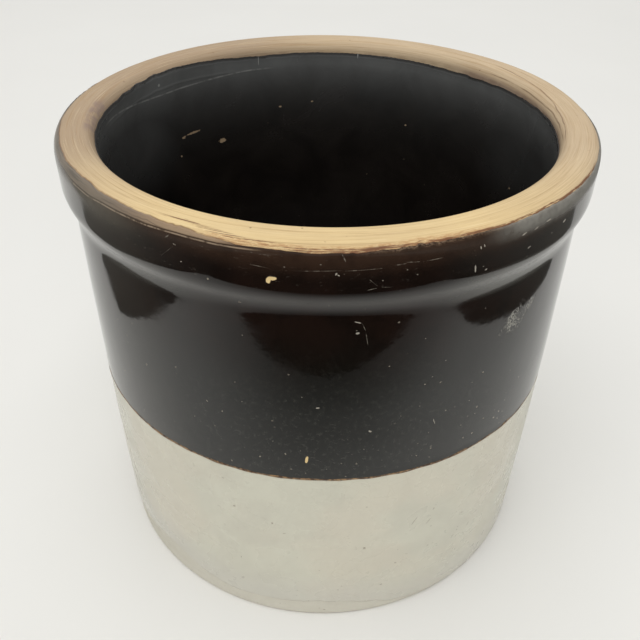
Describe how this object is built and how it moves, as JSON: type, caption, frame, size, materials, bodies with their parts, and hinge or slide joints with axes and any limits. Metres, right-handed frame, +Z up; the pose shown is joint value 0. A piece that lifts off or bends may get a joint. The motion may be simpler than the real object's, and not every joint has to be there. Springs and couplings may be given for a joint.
{
  "type": "stoneware crock",
  "caption": "Open straight-sided stoneware crock with a rolled collar, dark glaze inside and above and pale glaze below, for fermenting and pickling.",
  "frame": {"origin": "centre of the base, on the plane the crock rests on", "axes": "+Z up along the crock's axis, through the open mouth; +X and +Y lie in the rest plane"},
  "size_m": [0.25, 0.25, 0.231],
  "materials": {
    "bare_clay": "unglazed fired clay, matt, tan, stained brown along the rim",
    "black_glaze": "glossy brown-black slip glaze",
    "brown_glaze": "glossy dark brown slip glaze with pale pinholes",
    "pale_glaze": "satin cream glaze with faint crazing and specks",
    "seam_glaze": "thin tan-brown overlap of the two outer glazes"
  },
  "bodies": {
    "root": {"stoneware_body": "bare_clay", "lining_glaze": "black_glaze", "brown_glaze": "brown_glaze", "white_glaze": "pale_glaze", "glaze_seam": "seam_glaze"}
  },
  "joints": []
}
